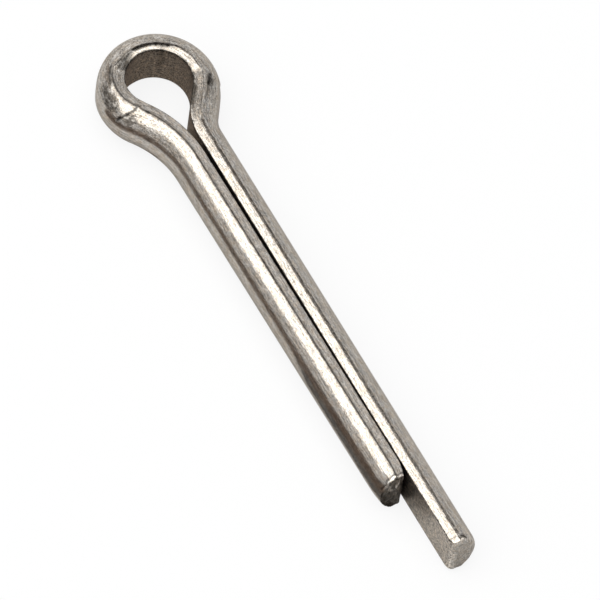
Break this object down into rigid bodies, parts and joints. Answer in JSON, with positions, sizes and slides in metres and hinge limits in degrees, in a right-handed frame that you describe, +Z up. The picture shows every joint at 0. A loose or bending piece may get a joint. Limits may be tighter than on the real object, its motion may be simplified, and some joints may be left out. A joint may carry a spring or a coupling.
{
  "type": "cotter pin",
  "caption": "Cotter pin folded from half-round steel wire: an open eye, and flat-faced legs of unequal length that lie together as a split round shank.",
  "frame": {"origin": "bottom centre of the bounding box, on the surface the pin lies on", "axes": "+X along the shank from the eye to the tips, +Y from the short leg to the long leg, +Z up along the axis of the eye's hole"},
  "size_m": [0.0754, 0.0146, 0.0068],
  "materials": {
    "wire": "drawn stainless wire, satin with fine lines along its length, marked where it was bent and sheared"
  },
  "bodies": {
    "root": {"cotter_pin": "wire"}
  },
  "joints": []
}
